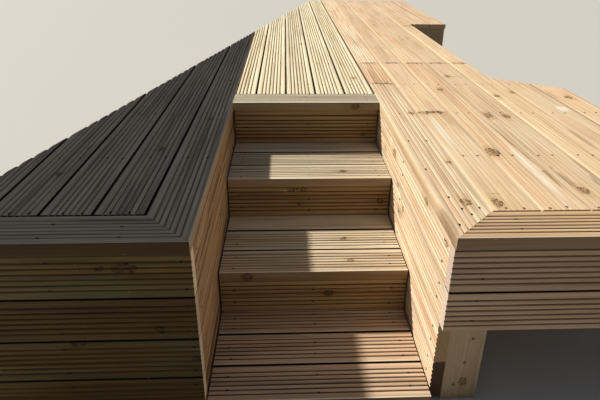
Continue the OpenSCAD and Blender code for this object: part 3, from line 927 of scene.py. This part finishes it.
# Finish and record slot of each node's boards, and how many knots to a metre besides those seen
boardLooks = {
    "right_deck_boards": ("sunnyDeck", "pale_decking", 0.08),
    "right_side_border": ("rightBorder", "pale_decking", 0.1),
    "right_front_border": ("frontBorder", "pale_decking", 0.0),
    "landing_boards": ("landing", "pale_decking", 0.2),
    "top_nosing": ("greenNosing", "pale_decking", 0.0),
    "left_deck_boards": ("greyDeck", "grey_decking", 0.5),
    "left_side_border": ("greyBorder", "grey_decking", 0.4),
    "left_front_border": ("greyDeck", "grey_decking", 0.0),
    "left_fascia_boards": ("leftFascia", "grey_decking", 0.6),
    "right_fascia_boards": ("rightFascia", "grey_decking", 0.3),
    "left_cheek_boards": ("leftCheek", "brown_cladding", 0.5),
    "right_cheek_boards": ("rightCheek", "pale_decking", 0.3),
    **{step + "_riser": ("riser", "brown_cladding", 0.5) for step in ("lower", "middle", "upper")},
    **{f"{step}_tread_{part}": ("lowerTread" if step == "lower" else "tread", "pale_decking", 0.4)
       for step in ("lower", "middle", "upper") for part in ("front", "middle", "rear")},
}
for node, boards in boardsOf.items():
    finish, slotName, knotsPerMetre = boardLooks[node]
    chance = np.random.default_rng(nodeOrder.index(node) + 100)
    parts = [makeBoard(board, node, knotsPerMetre, chance) for board in boards]
    settle(assemble(node + "_wood", parts, materials[finish]), slotName, [node])
print("boards laid:", sum(len(boards) for boards in boardsOf.values()))


# Sawn timber: a copy of the frame's solid with eased edges and its own grain
timber = {"ease": 0.002, "rowGap": 0.06, "knotSize": (0.008, 0.014), "knotsPerMetre": 1.6}


def islandsOf(bm):
    left = set(bm.verts)
    while left:
        grown, edge = set(), [left.pop()]
        while edge:
            vertex = edge.pop()
            grown.add(vertex)
            for link in vertex.link_edges:
                other = link.other_vert(vertex)
                if other in left:
                    left.discard(other)
                    edge.append(other)
        yield grown


def makeTimber(node, chance):
    whole = bmesh.new()
    whole.from_mesh(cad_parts[node].data)
    bmesh.ops.remove_doubles(whole, verts=whole.verts[:], dist=1e-5)
    bmesh.ops.dissolve_limit(whole, angle_limit=0.01, verts=whole.verts[:], edges=whole.edges[:])
    parts = []
    for island in list(islandsOf(whole)):
        edges = {edge for vertex in island for edge in vertex.link_edges}
        longest = max(edges, key=lambda edge: edge.calc_length())
        along = (longest.verts[1].co - longest.verts[0].co).normalized()
        up = Vector((0, 0, 1)) if abs(along.z) < 0.5 else Vector((0, 1, 0))
        across = up.cross(along).normalized()
        turned = Matrix((along, across, along.cross(across)))
        bm = whole.copy()
        bm.verts.ensure_lookup_table()
        keep = {vertex.index for vertex in island}
        others = [vertex for vertex in bm.verts if vertex.index not in keep]
        bmesh.ops.delete(bm, geom=others, context="VERTS")
        bmesh.ops.transform(bm, matrix=turned.to_4x4(), verts=bm.verts[:])
        corner = Vector([min(vertex.co[i] for vertex in bm.verts) for i in range(3)])
        bmesh.ops.translate(bm, vec=-corner, verts=bm.verts[:])
        length, width = (max(vertex.co[i] for vertex in bm.verts) for i in range(2))
        bmesh.ops.bevel(bm, geom=bm.edges[:], offset=timber["ease"], offset_type="OFFSET", segments=2,
                        profile=0.5, affect="EDGES")
        for row in np.arange(timber["rowGap"], length - timber["ease"] * 2, timber["rowGap"]):
            bmesh.ops.bisect_plane(bm, geom=bm.verts[:] + bm.edges[:] + bm.faces[:], dist=1e-6,
                                   plane_co=(row, 0, 0), plane_no=(1, 0, 0))
        knots = []
        growKnots(chance, knots, timber["knotsPerMetre"], length, width, (0.2, 0.8), timber["knotSize"])
        for seen, size in knotsOn.get(node, ()):
            spot = turned @ Vector(seen) - corner
            if 0 < spot.x < length and 0 < spot.y < width:
                knots.append((spot.x, spot.y, size))
        bm.verts.index_update()
        points = np.array([vertex.co for vertex in bm.verts])
        values = drawGrain(chance)
        parts.append(partOf(
            bm, points, (points + np.array(corner)) @ np.array(turned), values,
            [float(abs(face.normal.x) > 0.6) for face in bm.faces],
            knot=spotField(points, knots, reaches["timberKnot"])))
        bm.free()
    whole.free()
    return parts


timberNodes = [node for node in nodeOrder if node not in boardsOf]
for node in timberNodes:
    chance = np.random.default_rng(nodeOrder.index(node) + 100)
    look = ("packing", "brown_cladding") if node == "packing_strip" else ("frameTimber", "frame_timber")
    settle(assemble(node + "_wood", makeTimber(node, chance), materials[look[0]], 40), look[1], [node])
print("timbers eased:", len(timberNodes))


# Screws, sunk in the grooves
screw = {
    # The head from its recess outwards and down: radius, height, and how near every other point comes
    "rings": ((0.001155, -0.0016, 1.0), (0.0021, -0.0014, 0.74), (0.0021, 0.0, 0.74), (0.003906, 0.0002, 1.0),
              (0.0042, -0.0003, 1.0), (0.0018, -0.0032, 1.0), (0.0018, -0.014, 1.0)),
    "sides": 12,
    "sunk": 0.0008,
    "sunkShallow": 0.0003,    # in worn grooves
    "proud": 0.0002,          # on the post
    "strays": 0.003,          # how far one may lie from its row
    "pairs": ((0, 3), (1, 4), (1, 4), (0, 4)),
    "stringers": (-0.2475, 0.0, 0.2475),
    "beforeJoist": 0.012,     # from a joist's line to its row
    "deckEnd": 0.012,         # from a deck board's end to its last row
    "clear": 0.06,            # no row over a joist is nearer to the end
    "fromEdge": 0.012,        # nor any screw to the slanted edge or the recess
    "fromCorner": 0.004,      # and to the cut corner, where its normal's length counts in
    "ends": {"cheek": (0.045, 0.045), "border": (0.16, 0.16), "left_fascia": (0.06, 0.02),
             "right_fascia": (None, 0.05)},
    "borderFrom": 0.8,        # nearer the front, the border's screws are those listed here
    "border": ((0.3925, 0.137), (0.3475, 0.133), (0.3325, 0.195), (0.3175, 0.056), (0.3625, 0.105),
               (0.3175, 0.372), (0.3175, 0.599), (0.3775, 0.600)),
    "posts": ((0.390, 0.209), (0.379, 0.129), (0.359, 0.051)),
    "fascia": ((0.371, 0.418), (0.366, 0.356), (0.364, 0.297)),
}


def screwHead(sides, rings):
    # Flat head with a six-lobed recess, a cone below it and a stub of the shank
    bm = bmesh.new()
    loops = []
    for radius, height, nearer in rings:
        loops.append([])
        for i in range(sides):
            turn = math.tau * i / sides
            reach = radius * (1.0 if i % 2 else nearer)
            loops[-1].append(bm.verts.new((reach * math.cos(turn), reach * math.sin(turn), height)))
    bm.faces.new(loops[0])
    bm.faces.new(loops[-1][::-1])
    for inner, outer in zip(loops, loops[1:]):
        for i in range(sides):
            j = (i + 1) % sides
            bm.faces.new((inner[i], outer[i], outer[j], inner[j]))
    bmesh.ops.recalc_face_normals(bm, faces=bm.faces[:])
    return newObject("screwHead", takeMesh(bm, "screwHead"))


def buildScrewTree():
    inputs = {"Geometry": ("Points",), "Object": ("Head",), "Material": ("Finish",)}
    tree, given = newTree("deckScrews", "GeometryNodeTree", inputs, {"Geometry": ("Screws",)})
    head = addWire(tree, "GeometryNodeObjectInfo", {"Object": given["Head"]}, "Geometry")
    facing, turn = (addWire(tree, "GeometryNodeInputNamedAttribute", {"Name": name}, data_type=kind)
                    for name, kind in (("facing", "FLOAT_VECTOR"), ("turn", "FLOAT")))
    aimed = addWire(tree, "FunctionNodeAlignRotationToVector", {"Vector": facing}, axis="Z")
    spin = addWire(tree, "FunctionNodeAxisAngleToRotation", {"Axis": (0, 0, 1), "Angle": turn})
    rotation = addWire(tree, "FunctionNodeRotateRotation", {"Rotation": aimed, "Rotate By": spin},
                       rotation_space="LOCAL")
    placed = addWire(tree, "GeometryNodeInstanceOnPoints", {
        "Points": given["Points"], "Instance": head, "Rotation": rotation})
    return finishTree(tree, placed, given["Finish"])


def screwMaterial():
    material, tree = newMaterial("weatheredShadedScrew")
    patchy = noiseAt(addWire(tree, "ShaderNodeTexCoord", output="Object"), 900.0, 3.0)
    # Near black: weathered steel, darkened further as painted shade of the hole the head sits in
    colour = blend(between(patchy, 0.35, 0.65), "1c1815", "0b0908")
    addShader(tree, {"Base Color": colour, "Metallic": 0.3, "Roughness": patchy * 0.3 + 0.5})
    return material


screwSpots = []
grooveFirst = (boardWidth - (decking["Grooves"] - 1) * decking["Groove Pitch"]) / 2


def screwRow(board, along, chance, face=1, pair=None):
    pair = pair or screw["pairs"][chance.integers(len(screw["pairs"]))]
    sunk = screw["sunk"] if board.get("grooveLeft", 1.0) > 0.3 else screw["sunkShallow"]
    for groove in pair:
        across = grooveFirst + groove * decking["Groove Pitch"]
        level = boardThickness - sunk if face > 0 else sunk * 0.6
        spot = board["place"] @ Vector((along + float(chance.normal(0, screw["strays"])), across, level))
        facing = board["place"].to_3x3() @ Vector((0, 0, face))
        screwSpots.append((spot, facing, float(chance.uniform(0, math.tau))))


def rowsOn(node, start, length):
    # How far along a board its rows of screws lie
    if "deck_boards" in node or "landing" in node or "side_border" in node:
        rows = [joist - screw["beforeJoist"] - start.y for joist in joists]
        rows = [row for row in rows if screw["clear"] < row < length - screw["clear"]]
        rows += [screw["deckEnd"], length - screw["deckEnd"]]
        return [row for row in rows if node != "right_side_border" or start.y + row > screw["borderFrom"]]
    if "tread" in node or "riser" in node or node == "top_nosing":
        return [x - start.x for x in screw["stringers"]]
    near, far = next(ends for kind, ends in screw["ends"].items() if kind in node)
    rows = [near, length / 2, length - far]
    return rows if near else rows[1:]


def inPlan(spot):
    fromSlant, fromCorner = ((spot - Vector(point)).dot(Vector(outward)) for point, outward in (
        slantPlane, cornerPlane))
    if fromSlant > -screw["fromEdge"]:
        return False
    if spot.y < notchY:
        return fromCorner <= -screw["fromCorner"]
    return spot.y >= plan["recessEnd"] or spot.x <= notchX - screw["fromEdge"]


screwChance = np.random.default_rng(7)
for node, boards in boardsOf.items():
    for board in boards:
        pair = (0, 5) if "fascia" in node else board.get("pair")
        for row in rowsOn(node, board["place"].translation, board["length"]):
            screwRow(board, row, screwChance, -1 if node in turnedTreads else 1, pair)
screwSpots = [spot for spot in screwSpots if inPlan(spot[0])]
for x, y in screw["border"]:
    screwSpots.append((Vector((x, y, deckTop - screw["sunk"])), Vector((0, 0, 1)), x + y))
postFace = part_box("corner_posts")[0].y - screw["proud"]
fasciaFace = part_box("right_fascia_boards")[0].y + screw["sunk"]
for places, face in ((screw["posts"], postFace), (screw["fascia"], fasciaFace)):
    screwSpots += [(Vector((x, face, z)), Vector((0, -1, 0)), x + z) for x, z in places]
pointMesh = bpy.data.meshes.new("screwPoints")
pointMesh.from_pydata([spot for spot, _, _ in screwSpots], [], [])
setAttribute(pointMesh, "facing", [facing for _, facing, _ in screwSpots])
setAttribute(pointMesh, "turn", [turn for _, _, turn in screwSpots])
head = screwHead(screw["sides"], screw["rings"])
screwMesh = bakeTree(buildScrewTree(), {"Head": head, "Finish": screwMaterial()}, pointMesh)
bpy.data.objects.remove(head)
settle(newObject("deck_screws", screwMesh))
print("screws driven:", len(screwSpots))


# Pale floor and soft lights
stage = {"half": 60.0, "level": -0.0003, "colour": "cbc8c1", "roughness": 0.9}
floorMesh = bpy.data.meshes.new("floor")
floorCorners = [(x * stage["half"], y * stage["half"], stage["level"])
                for x, y in ((-1, -1), (1, -1), (1, 1), (-1, 1))]
floorMesh.from_pydata(floorCorners, [], [(0, 1, 2, 3)])
floor = newObject("floor", floorMesh)
floorMaterial, floorTree = newMaterial("paleFloor")
addShader(floorTree, {"Base Color": stage["colour"], "Roughness": stage["roughness"]})
floorMesh.materials.append(floorMaterial)

sun = {"from": (-3.8, 3.1, 4.3), "softness": math.radians(2.5), "strength": 4.7, "colour": (1.0, 0.95, 0.87)}
sunData = bpy.data.lights.new("key", "SUN")
sunData.energy = sun["strength"]
sunData.angle = sun["softness"]
sunData.color = sun["colour"]
lamp = newObject("key", sunData)
lamp.rotation_euler = Vector(sun["from"]).to_track_quat("Z", "Y").to_euler()

# The left side lies in shade, and the screws are too deep for the sun
inShade = bpy.data.collections.new("inShade")
for name in ("left_deck_boards_wood", "left_side_border_wood", "left_front_border_wood", "deck_screws"):
    inShade.objects.link(bpy.data.objects[name])
lamp.light_linking.receiver_collection = inShade
for member in inShade.collection_objects:
    member.light_linking.link_state = "EXCLUDE"

# A sky that is bluer overhead; the camera itself sees a plain pale backdrop
sky = {
    "above": "c4d8f4", "level": "e8e2d8", "strength": 0.205, "backdrop": "d9d8d4", "backdropStrength": 0.75}


def skyWorld(s):
    world = bpy.data.worlds.new("studio")
    world.use_nodes = True
    tree = world.node_tree
    tree.nodes.clear()
    height = split(addWire(tree, "ShaderNodeTexCoord", output="Generated"))[2]
    colour = blend(between(height, 0.0, 0.8), s["level"], s["above"])
    light = addWire(tree, "ShaderNodeBackground", {"Color": colour, "Strength": s["strength"]})
    seen = addWire(tree, "ShaderNodeBackground", {"Color": s["backdrop"], "Strength": s["backdropStrength"]})
    isSeen = addWire(tree, "ShaderNodeLightPath", output="Is Camera Ray")
    mixed = addWire(tree, "ShaderNodeMixShader", {0: isSeen, 1: light, 2: seen})
    addNode(tree, "ShaderNodeOutputWorld", {"Surface": mixed})
    return world


bpy.context.scene.world = skyWorld(sky)
bpy.context.scene.view_settings.view_transform = "Standard"
print("stage lit")
